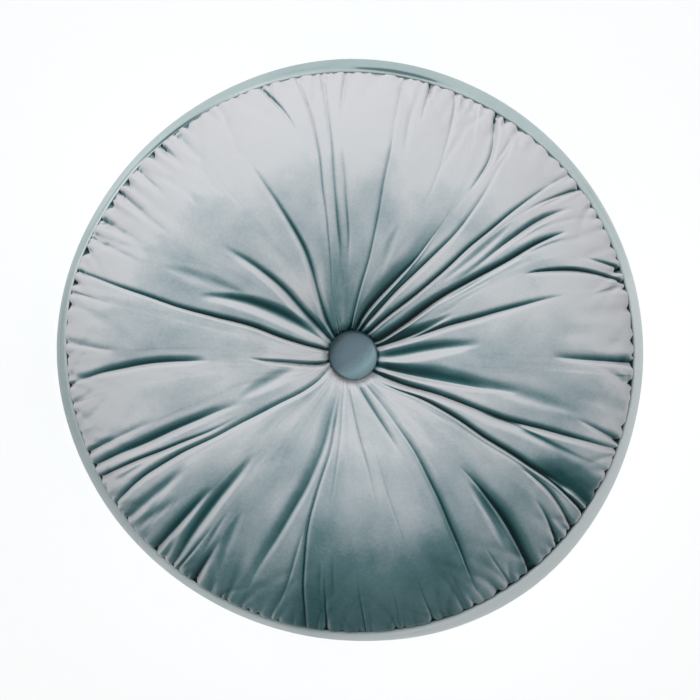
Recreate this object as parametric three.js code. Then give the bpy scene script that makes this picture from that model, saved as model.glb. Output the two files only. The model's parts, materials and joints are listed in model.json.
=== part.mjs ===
// A round boxed scatter cushion in velvet: a gathered front panel drawn down to a covered button,
// a smooth side band sewn round it, and a plain back. It lies on its back, front face up.
// Millimetres, +Z up. The origin is the middle of the cushion's outline, on the surface it rests on.
import * as THREE from "three";

// Heights of the filled cushion: its crown, its two seams and the middle of the front's dish
const CROWN_HEIGHT = 104;
const FRONT_SEAM_HEIGHT = 68;
const BACK_SEAM_HEIGHT = 15;
const DISH_HEIGHT = 89;

// Point that the folds of the front run to
const GATHER = { x: -4.1, y: -3.1 };

// Shares of the way from the button's middle to the seam: edge of the button's bed, and crown's top
const BED_SHARE = 0.105;
const CROWN_SHARE = 0.5;

// How round the crown is between dish and top, and from its top down to the seam
const CLIMB_POWER = 2.4;
const FALL_POWER = 2.3;
const FALL_ROUNDNESS = 0.75;

// Covered button, sewn a little to the right of that point
const BUTTON = { x: 2.0, y: -3.4, radius: 16.5, foot: 9, thickness: 11 };

// Section of the button from its edge to its top, in shares of its radius and thickness
const BUTTON_DOME = [
  [0.84, 0.1],
  [1, 0.38],
  [0.96, 0.6],
  [0.78, 0.82],
  [0.45, 0.95],
  [0, 1],
];

// The button's stitch draws the cloth down further: how far, and from which to which distance from
// the button's middle
const TUFT_DEPTH = 5.5;
const TUFT_INNER = 18.5;
const TUFT_OUTER = 27;

// Side band: its cloth and how full it bulges; edge of the panels over it; clearance between pieces
const BAND_THICKNESS = 2;
const BAND_FULLNESS = 0.7;
const LIP_THICKNESS = 1.6;
const CLEARANCE = 0.3;

// Back panel: the ring of it that lies flat on the surface, and the dimple in its middle
const REST_OUTER = 150;
const REST_INNER = 46;
const DIMPLE_HEIGHT = 11;
const BACK_POWER = 2.2;

// Outline of the cushion: radius of the band's widest line and of the front seam, by heading
const OUTLINE_COLUMNS = ["heading", "band", "seam"];
const OUTLINE = [
  [0, 200.4, 193.3],
  [30, 199.1, 192.2],
  [60, 198.9, 190.0],
  [90, 198.9, 189.6],
  [120, 197.0, 190.0],
  [150, 197.9, 192.2],
  [168, 199.8, 194.6],
  [180, 200.4, 193.6],
  [210, 197.8, 192.0],
  [240, 196.2, 191.8],
  [270, 198.6, 193.6],
  [290, 202.6, 195.2],
  [310, 204.6, 195.8],
  [330, 202.6, 194.8],
  [345, 201.0, 193.9],
];

// Shares of the way from the gathers' meeting point to the seam that a fold's headings and depths are
// given at: beside the button, on the inner slope, on the crown, on the outer slope and at the rim
const HEADING_STATIONS = [0.125, 0.31, 0.585, 0.83, 1];
const DEPTH_STATIONS = [0.16, 0.3, 0.44, 0.585, 0.83, 0.97];

// One row for each fold of the front, anticlockwise: its heading in degrees at the five stations, its
// depth at the six, and its lean, from -1 to 1, towards the side that is steep
const FOLD_COLUMNS = [
  ...["headHub", "headInner", "headCrown", "headOuter", "headRim"],
  ...["deepHub", "deepInner", "deepClimb", "deepCrown", "deepOuter", "deepRim"],
  "lean",
];
const FOLDS = [
  [3, 2.5, 1.5, 0.4, -1.1, 0, 0, 0, 0, 0.6, 3, 0],
  [13, 15.3, 16, 15.2, 13, 2.5, 3.5, 3.2, 2.6, 0.2, 0, -0.1],
  [18, 22, 25.3, 21.4, 14.6, 0, 0, 0, 0, 4, 3, 0],
  [21, 25, 27.6, 24.9, 18, 0, 0, 0, 0, 0, 3.2, 0],
  [25, 30, 30.4, 29.6, 27, 4.5, 6.5, 6, 4.5, 1.2, 0, -0.4],
  [31, 35, 36, 34.7, 31, 0, 0, 0, 0.4, 2.8, 1.2, 0],
  [36, 37.6, 38.5, 38, 35.3, 0, 0, 0, 0, 0.6, 3.5, 0],
  [44, 40.1, 40.7, 40.3, 39.3, 3, 3.2, 2.6, 2.2, 1.6, 1.4, -0.4],
  [57, 51.6, 47.8, 49.8, 51.5, 2.5, 2.6, 2.4, 1.6, 0.7, 0.5, -0.2],
  [61, 54, 51, 52.9, 57.6, 0, 0, 0, 0, 2.4, 4, 0],
  [67, 56.8, 54.8, 58, 61.8, 5, 5, 2.5, 0.3, 0, 0.8, -0.7],
  [70, 64, 61.8, 64.5, 66.6, 0, 0, 0, 0, 1.2, 2.5, 0],
  [74, 69.5, 69, 71.5, 72, 0, 0, 0, 0, 0, 2.8, 0],
  [79.5, 75.5, 76.9, 77.4, 77.6, 1.5, 1.3, 1.1, 1.1, 0.9, 1.3, -0.1],
  [86, 87.2, 89.6, 91, 90, 0, 0.2, 2.2, 1.6, 0.2, 2.2, 0],
  [93, 92.3, 92.9, 93.8, 95.2, 0, 0.1, 1.6, 1.1, 1, 1.2, 0],
  [109, 99.6, 97, 97.5, 100, 0.3, 0.8, 1.3, 1.3, 1.4, 1, 0.1],
  [114, 104.5, 102.7, 103.1, 108, 0, 0, 0, 0, 0.6, 3.2, -0.1],
  [122.5, 110, 112.8, 116.5, 118, 2.5, 3.8, 3.2, 1.8, 0, 0, 0.4],
  [128, 121, 124, 126, 126.5, 0, 0, 0, 0, 0, 1.5, 0],
  [133, 126.3, 130, 132.8, 133, 0, 0, 0, 0, 0, 1.5, 0],
  [139, 131.6, 137, 138.5, 138.8, 3, 4, 2, 0.2, 0, 2.2, -0.3],
  [141, 139.5, 145, 145.5, 143.8, 0, 0, 0, 0, 0.4, 2.5, 0],
  [144, 147.5, 152, 153.5, 153, 3, 4.5, 2.5, 0.8, 0, 2, 0],
  [158, 157, 158.5, 159.5, 159.5, 0, 0, 0, 0, 0, 1.5, 0],
  [172, 163.4, 163.8, 163, 162.6, 3, 3.5, 3.4, 2.6, 2, 2.4, 0.2],
  [181, 172.5, 171.5, 171.5, 171.5, 0, 0, 0, 0, 0, 1, 0],
  [188, 178, 177.3, 178.6, 178.3, 0, 0, 0, 0, 0.4, 2, 0],
  [200, 183, 181.2, 183.2, 186.3, 3.5, 2.8, 0, 3, 3, 1.6, 0.2],
  [203, 190, 188.5, 189, 190.5, 0, 0, 0, 0, 0, 0.8, 0],
  [206, 197.5, 197.5, 199, 200, 0, 1.2, 0.3, 0, 1.2, 2.5, 0],
  [211, 206, 203.2, 203.4, 201.8, 0, 0, 1.2, 3.5, 3.5, 1.5, 0.2],
  [217, 212.3, 209.2, 206.5, 207, 0, 0, 0, 0.8, 2.8, 2.4, -0.1],
  [227, 216, 211.5, 210.8, 214, 2, 2.4, 2.4, 2.2, 2.6, 1.5, 0.1],
  [230, 220, 214.6, 216.2, 217, 0, 0, 0, 0, 2.2, 2, 0],
  [233, 225, 224.8, 225.5, 225.8, 0, 0, 0, 0, 3.2, 3.2, 0.1],
  [236, 228.5, 227.5, 229, 230.2, 0, 0, 0, 1.5, 3.4, 1.2, 0.1],
  [239, 233, 232.3, 232.2, 230.9, 0, 0, 0, 0, 1, 2.2, 0],
  [243, 238, 236.6, 236.2, 236.9, 0, 0, 0, 0, 0.5, 3.5, 0.1],
  [248, 245, 243.5, 242.3, 243, 0, 0, 0, 0, 0, 1.2, 0],
  [256.5, 255.2, 250.2, 247, 247, 0, 2.5, 2.5, 2.5, 0.5, 0, 0.3],
  [261, 259.2, 257.3, 256.6, 254.8, 0, 0, 0, 0.2, 1.4, 0.8, 0.1],
  [264, 261.9, 258.6, 260, 262.1, 0.3, 1.8, 1.6, 1.6, 2.2, 2, 0.2],
  [269.4, 267, 264.4, 265.3, 266.6, 0.5, 0.8, 0.6, 0, 0.3, 2.4, 0],
  [274, 273.2, 272.6, 273.5, 274.5, 0, 0, 0, 0, 0.2, 1.8, 0],
  [277.8, 280.6, 282.4, 282, 281.5, 0.8, 1.2, 0.8, 0, 0, 0.8, 0],
  [285, 287.3, 287.4, 288, 288.5, 0, 0, 0.3, 0.4, 0, 2.2, 0],
  [293.5, 298, 296, 295.8, 296, 1.5, 1.6, 0.2, 0, 0, 0.8, -0.1],
  [305, 307.3, 304.4, 300, 299, 0.8, 1.2, 1.3, 1.8, 1.2, 0, -0.3],
  [309, 311, 308.8, 306.3, 306, 0, 0, 0, 0, 0, 2, 0],
  [313, 317, 318.4, 313.2, 310.2, 0, 0, 0, 1, 5, 4.5, -0.5],
  [315, 322, 323.4, 322.5, 317.5, 0, 0, 0, 0, 0.5, 3, -0.1],
  [316, 326, 327.6, 327.2, 323.2, 0, 0, 0, 0, 2.5, 3, 0],
  [317, 329.6, 330, 328.6, 326.5, 1.5, 3, 3.2, 4, 4.5, 3.5, -0.3],
  [324, 333, 336, 335.5, 336.5, 0, 0, 0.3, 1.5, 0.5, 0, -0.1],
  [328, 335.8, 338.4, 340.1, 340.8, 5, 4.5, 4, 4, 2.8, 1.8, 0.2],
  [341, 347, 350.5, 349.5, 346, 5, 4.5, 2.5, 1, 0, 2.5, -0.1],
  [351, 353.5, 355, 355.5, 355.8, 0, 0, 0, 0, 0, 3, 0],
];

// Reach of a fold's soft side and steep side from its bottom line, and how far the cloth stands up
// between two folds, as a share of the distance between them, at the depth stations
const SOFT_REACH = 15;
const STEEP_REACH = 4;
const PUFF_SHARES = [0.15, 0.1, 0.07, 0.05, 0.06, 0.12];
const PUFF_LIMIT = 3.5;

// How far the seam is drawn in at a fold, and the share of the radius that folds die out over there
const SEAM_SCALLOP = 1.2;
const SCALLOP_FROM = 0.9;
const SEAM_FADE = 0.03;

const SLOPE_STEP = 0.01;
const REACH_PASSES = 5;
const BUTTON_SIDES = 28;

// Rows of the front panel by share of the radius, and columns between two folds
const FRONT_ROWS = [0.045, 0.1, 0.16, 0.23, 0.31, 0.4, 0.5, 0.6, 0.7, 0.79, 0.87, 0.93, 0.975, 1];
const FINE_COLUMNS = [0, 0.22, 0.5, 0.78];
const PLAIN_COLUMNS = [0, 0.5];
const SINGLE_COLUMN = [0];
const FINE_FROM = 0.12;
const FINE_TO = 0.99;

// Rows of the band from its front edge to its back edge, of the back panel's curve down to the
// flat ring, and of the dimple
const BAND_ROWS = [0, 0.14, 0.5, 0.86, 1];
const BACK_ROWS = [0, 0.12, 0.35, 0.65, 1];
const DIMPLE_ROWS = [0, 0.35, 0.7];
const BACK_PLAIN_FROM = 0.5;

const DEGREE = Math.PI / 180;

function named(columns, rows) {
  return rows.map((row) => Object.fromEntries(columns.map((column, index) => [column, row[index]])));
}

const outline = named(OUTLINE_COLUMNS, OUTLINE);
const folds = named(FOLD_COLUMNS, FOLDS);

// Smooth curve through values given at rising stations; flat beyond the first and last
function through(stations, values, at) {
  const last = stations.length - 1;
  const place = THREE.MathUtils.clamp(at, stations[0], stations[last]);
  let index = 0;
  while (index < last - 1 && place > stations[index + 1]) {
    index += 1;
  }
  const rise = (from) => (values[from + 1] - values[from]) / (stations[from + 1] - stations[from]);
  const slope = (knot) => (rise(Math.max(knot - 1, 0)) + rise(Math.min(knot, last - 1))) / 2;
  const span = stations[index + 1] - stations[index];
  const t = (place - stations[index]) / span;
  const turn = t * t * (3 - 2 * t);
  return (
    values[index] * (1 - turn) +
    values[index + 1] * turn +
    span * t * (1 - t) * (slope(index) * (1 - t) - slope(index + 1) * t)
  );
}

// Radius of the outline's named line about the origin, at a heading in radians
function outlineRadius(line, heading) {
  const degrees = THREE.MathUtils.euclideanModulo(heading / DEGREE, 360);
  const count = outline.length;
  const turns = [-1, 0, 1].flatMap((turn) => outline.map((row) => row.heading + turn * 360));
  const radii = turns.map((_, index) => outline[index % count][line]);
  return through(turns, radii, degrees);
}

// Distance from the gathers' meeting point to the named line, at a heading about that point
function reach(line, heading) {
  let distance = outlineRadius(line, heading);
  for (let pass = 0; pass < REACH_PASSES; pass += 1) {
    const x = GATHER.x + distance * Math.cos(heading);
    const y = GATHER.y + distance * Math.sin(heading);
    distance += outlineRadius(line, Math.atan2(y, x)) - Math.hypot(x, y);
  }
  return distance;
}

// Height of the front without its folds, by share of the way from the button's middle to the seam
function crownHeight(share) {
  if (share < BED_SHARE) {
    return DISH_HEIGHT;
  }
  if (share < CROWN_SHARE) {
    const left = (CROWN_SHARE - share) / (CROWN_SHARE - BED_SHARE);
    return CROWN_HEIGHT - (CROWN_HEIGHT - DISH_HEIGHT) * left ** CLIMB_POWER;
  }
  const fall = Math.min(1, (share - CROWN_SHARE) / (1 - CROWN_SHARE));
  const left = (1 - fall ** FALL_POWER) ** FALL_ROUNDNESS;
  return THREE.MathUtils.lerp(FRONT_SEAM_HEIGHT, CROWN_HEIGHT, left);
}

function around(heading, distance, height) {
  const x = GATHER.x + distance * Math.cos(heading);
  const y = GATHER.y + distance * Math.sin(heading);
  return new THREE.Vector3(x, y, height);
}

function foldHeading(fold, share) {
  const headings = [fold.headHub, fold.headInner, fold.headCrown, fold.headOuter, fold.headRim];
  return through(HEADING_STATIONS, headings, share) * DEGREE;
}

function foldDepth(fold, share) {
  const { deepHub, deepInner, deepClimb, deepCrown, deepOuter, deepRim } = fold;
  const depths = [deepHub, deepInner, deepClimb, deepCrown, deepOuter, deepRim];
  return Math.max(0, through(DEPTH_STATIONS, depths, share));
}

// Part of a fold's depth that is left at a distance from its bottom line
function foldSide(distance, lean) {
  const sideReach = THREE.MathUtils.mapLinear(lean, -1, 1, SOFT_REACH, STEEP_REACH);
  return Math.max(0, 1 - distance / sideReach) ** 2;
}

// Heading of a place at a share of the radius: place 3.5 is halfway from fold 3 to fold 4
function headingAt(place, share) {
  const index = Math.floor(place);
  const start = foldHeading(folds[index], share);
  return start + foldGap(index, share) * (place - index);
}

function foldGap(index, share) {
  const last = index === folds.length - 1;
  const next = foldHeading(folds[last ? 0 : index + 1], share) + (last ? 2 * Math.PI : 0);
  return next - foldHeading(folds[index], share);
}

// Point of the front panel at a place and a share of the radius
function frontPoint(place, share) {
  const index = Math.floor(place);
  const between = place - index;
  const fold = folds[index];
  const next = folds[(index + 1) % folds.length];
  const heading = headingAt(place, share);
  const seam = reach("seam", heading);
  const flat = around(heading, seam * share, 0);
  const fromButton = Math.hypot(flat.x - BUTTON.x, flat.y - BUTTON.y);
  const crownShare = fromButton / (fromButton + seam * (1 - share));

  const arc = foldGap(index, share) * seam * share;
  const drop =
    Math.min(foldDepth(fold, share), arc) * foldSide(arc * between, fold.lean) +
    Math.min(foldDepth(next, share), arc) * foldSide(arc * (1 - between), -next.lean);
  const bow = 4 * between * (1 - between);
  const puff = Math.min(PUFF_LIMIT, arc * through(DEPTH_STATIONS, PUFF_SHARES, share)) * bow;
  const clear = THREE.MathUtils.smoothstep(fromButton, TUFT_INNER, TUFT_OUTER);
  const lift = (puff - drop) * clear * Math.min(1, (1 - share) / SEAM_FADE);

  const rise = crownHeight(crownShare + SLOPE_STEP) - crownHeight(crownShare - SLOPE_STEP);
  const tilt = Math.atan(rise / (2 * SLOPE_STEP * seam));
  const scallop = SEAM_SCALLOP * (1 - bow) * THREE.MathUtils.smoothstep(share, SCALLOP_FROM, 1);
  const distance = seam * share - Math.sin(tilt) * lift - scallop;
  const height = crownHeight(crownShare) - TUFT_DEPTH * (1 - clear) + Math.cos(tilt) * lift;
  return around(heading, distance, height);
}

// Point on the band's outer face, or inset from it, at a share of the way down between its edges
function bandPoint(place, share, inset, edge) {
  const heading = headingAt(place, 1);
  const bulge = Math.sin(Math.PI * share) ** BAND_FULLNESS;
  const distance = THREE.MathUtils.lerp(reach("seam", heading), reach("band", heading), bulge);
  const front = FRONT_SEAM_HEIGHT - LIP_THICKNESS - edge;
  const back = BACK_SEAM_HEIGHT + LIP_THICKNESS + edge;
  return around(heading, distance - inset, THREE.MathUtils.lerp(front, back, share));
}

function backPoint(place, share) {
  const heading = headingAt(place, 1);
  const distance = THREE.MathUtils.lerp(reach("seam", heading), REST_OUTER, share);
  return around(heading, distance, BACK_SEAM_HEIGHT * (1 - share) ** BACK_POWER);
}

function dimplePoint(place, share) {
  const height = DIMPLE_HEIGHT * Math.sin((share * Math.PI) / 2) ** 2;
  return around(headingAt(place, 1), REST_INNER * (1 - share), height);
}

// Ring of points at the given columns of every fold
function ring(columns, pointAt) {
  return folds.flatMap((_, index) =>
    columns.map((between) => ({ place: index + between, point: pointAt(index + between) })),
  );
}

// Triangles between two rings, which may have different columns; rings follow each other over the
// front, down the side and in under the back, and so the faces look outwards
function strip(first, second) {
  const corners = [];
  const at = (loop, step) => loop[step % loop.length];
  const placeAt = (loop, step) => at(loop, step).place + (step >= loop.length ? folds.length : 0);
  let i = 0;
  let j = 0;
  while (i < first.length || j < second.length) {
    const firstIsNext = i < first.length && placeAt(first, i + 1) < placeAt(second, j + 1);
    const alongFirst = j === second.length || firstIsNext;
    corners.push(at(first, i), at(second, j), alongFirst ? at(first, i + 1) : at(second, j + 1));
    i += alongFirst ? 1 : 0;
    j += alongFirst ? 0 : 1;
  }
  return corners.map((corner) => corner.point);
}

// Triangles from a ring to one point that closes it
function cap(loop, middle, isFirst) {
  return loop.flatMap((corner, index) => {
    const next = loop[(index + 1) % loop.length];
    return isFirst ? [middle, corner.point, next.point] : [corner.point, middle, next.point];
  });
}

function meshOf(name, corners, material) {
  const geometry = new THREE.BufferGeometry().setFromPoints(corners);
  geometry.computeVertexNormals();
  const mesh = new THREE.Mesh(geometry, material);
  mesh.name = name;
  return mesh;
}

// Filled cushion in one solid: gathered front, wall behind the band, and back
function filledCushion() {
  const front = FRONT_ROWS.map((share) => {
    const isFine = share > FINE_FROM && share < FINE_TO;
    return ring(isFine ? FINE_COLUMNS : PLAIN_COLUMNS, (place) => frontPoint(place, share));
  });
  const behindBand = BAND_THICKNESS + 2 * CLEARANCE;
  const sideRing = (share, inset, edge) =>
    ring(PLAIN_COLUMNS, (place) => bandPoint(place, share, inset, edge));
  const lip = [sideRing(0, SEAM_SCALLOP, 0), sideRing(0, behindBand, 0)];
  const wall = BAND_ROWS.map((share) => sideRing(share, behindBand, CLEARANCE));
  const backLip = [sideRing(1, behindBand, 0), sideRing(1, 0, 0)];
  const back = BACK_ROWS.map((share) =>
    ring(share < BACK_PLAIN_FROM ? PLAIN_COLUMNS : SINGLE_COLUMN, (place) => backPoint(place, share)),
  );
  const dimple = DIMPLE_ROWS.map((share) => ring(SINGLE_COLUMN, (place) => dimplePoint(place, share)));

  const rings = [...front, ...lip, ...wall, ...backLip, ...back, ...dimple];
  const corners = cap(rings[0], around(0, 0, DISH_HEIGHT - TUFT_DEPTH), true);
  for (let row = 1; row < rings.length; row += 1) {
    corners.push(...strip(rings[row - 1], rings[row]));
  }
  corners.push(...cap(rings[rings.length - 1], around(0, 0, DIMPLE_HEIGHT), false));
  return meshOf("filled_cushion", corners, velvet(0x9dacb1));
}

// Smooth strip of velvet round the side, 2 mm thick
function sideBand() {
  const face = (inset) =>
    BAND_ROWS.map((share) =>
      ring(PLAIN_COLUMNS, (place) => bandPoint(place, share, inset, CLEARANCE)),
    );
  const rings = [...face(0), ...face(BAND_THICKNESS).reverse()];
  const corners = rings.flatMap((loop, row) => strip(loop, rings[(row + 1) % rings.length]));
  return meshOf("side_band", corners, velvet(0xb1bebf));
}

// Domed button covered in the same velvet
function coveredButton() {
  const { radius, foot, thickness } = BUTTON;
  const dome = BUTTON_DOME.map(([out, up]) => new THREE.Vector2(radius * out, thickness * up));
  const profile = [new THREE.Vector2(0, 0), new THREE.Vector2(foot, 0), ...dome];
  const geometry = new THREE.LatheGeometry(profile, BUTTON_SIDES);
  geometry.rotateX(Math.PI / 2);
  const mesh = new THREE.Mesh(geometry, velvet(0x6f828b));
  mesh.name = "front_button";
  mesh.position.set(BUTTON.x, BUTTON.y, DISH_HEIGHT - TUFT_DEPTH + CLEARANCE);
  return mesh;
}

function velvet(color) {
  return new THREE.MeshStandardMaterial({ color, roughness: 0.85, metalness: 0 });
}

const cushion = new THREE.Group();
cushion.add(filledCushion(), sideBand(), coveredButton());

export default cushion;
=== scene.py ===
import json
import math

import bmesh
import bpy
import numpy as np
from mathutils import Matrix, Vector

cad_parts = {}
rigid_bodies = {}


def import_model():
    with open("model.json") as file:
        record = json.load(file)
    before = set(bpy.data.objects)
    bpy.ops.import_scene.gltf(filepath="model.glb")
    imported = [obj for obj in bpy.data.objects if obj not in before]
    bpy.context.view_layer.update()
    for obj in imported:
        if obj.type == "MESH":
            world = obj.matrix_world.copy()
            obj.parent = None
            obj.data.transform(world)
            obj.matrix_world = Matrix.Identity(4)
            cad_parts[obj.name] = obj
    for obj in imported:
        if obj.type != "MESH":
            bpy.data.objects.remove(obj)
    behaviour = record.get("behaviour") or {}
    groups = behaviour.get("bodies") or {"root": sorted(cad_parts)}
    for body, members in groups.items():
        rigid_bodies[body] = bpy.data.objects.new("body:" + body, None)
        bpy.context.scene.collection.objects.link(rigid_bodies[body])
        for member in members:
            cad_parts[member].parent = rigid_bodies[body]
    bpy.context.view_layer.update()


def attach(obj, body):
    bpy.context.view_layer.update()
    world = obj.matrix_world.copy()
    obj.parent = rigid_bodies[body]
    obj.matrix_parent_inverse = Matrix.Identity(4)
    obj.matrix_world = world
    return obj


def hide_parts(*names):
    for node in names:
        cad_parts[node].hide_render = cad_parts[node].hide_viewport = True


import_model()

bl_info = {
    "name": "Pleated round cushion",
    "version": (1, 0, 0),
    "blender": (4, 5, 0),
    "location": "3D View > Sidebar > Cushion",
    "description": "Dresses a round boxed velvet cushion with a gathered front and a covered button",
    "category": "Object",
}

MM = 0.001
TURN = 2 * math.pi

# Point that the folds run to, and middle of the button, in mm from the cushion's middle
GATHER = (-4.1, -3.1)
BUTTON_MIDDLE = (2.0, -3.4)

# Outline of the cushion by heading: radius in mm of the band's widest line and of the front seam, and
# how much paler the band is painted there: painted light above 0 and painted shade below
OUTLINE_COLUMNS = ("heading", "band", "seam", "pale")
OUTLINE = (
    (0, 200.4, 193.3, 0.04),
    (30, 199.1, 192.2, -0.04),
    (60, 198.9, 190.0, -0.05),
    (90, 198.9, 189.6, -0.08),
    (120, 197.0, 190.0, 0.3),
    (150, 197.9, 192.2, 0.34),
    (168, 199.8, 194.6, 0.16),
    (180, 200.4, 193.6, 0.03),
    (210, 197.8, 191.2, 0.1),
    (240, 196.2, 190.6, 0.02),
    (270, 198.6, 192.4, -0.16),
    (290, 202.6, 193.8, -0.06),
    (310, 204.6, 194.0, 0.1),
    (330, 202.6, 193.6, 0.14),
    (345, 201.0, 193.9, 0.06),
)

# Shares of the way from the gathers' meeting point to the seam that a fold's headings and depths are
# given at: beside the button, on the inner slope, on the crown, on the outer slope and at the rim
HEADING_STATIONS = (0.125, 0.31, 0.585, 0.83, 1)
DEPTH_STATIONS = (0.16, 0.3, 0.44, 0.585, 0.83, 0.97)

# Directions that slopes face where the front, the band and the button are painted palest: painted light
# and shade by facing, given as the pile's nap. The front's downward part also paints its steep slopes
# paler, a painted sheen.
FACE_LIGHT_AND_NAP = (-0.08, 1.0, -0.75)
BAND_LIGHT_AND_NAP = (0.75, -0.8, 0.0)
BUTTON_LIGHT_AND_NAP = (0.6, -0.8, 0.0)

# Tone of level velvet before its patches and marks, how much of the range of tones a full fold takes
# off it as painted shade, and the fold's depth in mm that counts as full. The painted shade of a crease
# comes for its first share from the depth there, in which a gather counts for less, and for its second
# from a painted dark core along its bottom.
TONE_BASE = 0.215
FOLD_SHADE = 0.55
FOLD_TONE_DEPTH = 5.0
DEPTH_DARK, GATHER_DARK, CORE_SHADE = 0.6, 0.6, 0.4

# Where each colour of the velvets stands between the deepest tone and the palest
FACE_TONES = (
    *((0.0, "face_deepest"), (0.16, "face_deep"), (0.33, "face_shaded")),
    *((0.45, "face_middle"), (0.57, "face_pale"), (0.78, "face_palest")),
)
BAND_TONES = (
    *((0.0, "band_deepest"), (0.07, "band_deep"), (0.3, "band_shaded")),
    *((0.5, "band_middle"), (0.75, "band_palest")),
)
BUTTON_TONES = (
    *((0.1, "button_deepest"), (0.4, "button_deep")),
    *((0.52, "button_middle"), (0.68, "button_palest")),
)

# Sizes in mm of what breaks up the velvet's tone: patches that storage has pressed, marks of fingers,
# tufts, and the pile's own roughness. Real tufts are 0.3 mm across, too fine to show in the picture,
# so the last two are drawn this coarse. Each has its weight in the tone.
PATCH_SIZE, PATCH_TONE = 50.0, 0.16
MARK_SIZE, MARK_TONE = 12.5, 0.06
TUFT_SIZE, TUFT_TONE = 2.0, 0.07
PILE_SIZE = 1.1

# Streaks where the cloth is drawn together lie along the folds: their length in mm, how many lie round
# the cushion for each radian, and their weight in the tone. Its wrinkles are this much finer.
STREAK_LENGTH = 60
STREAKS_ROUND = 5
STREAK_TONE = 0.26
WRINKLE_SCALE = 2.6

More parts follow.
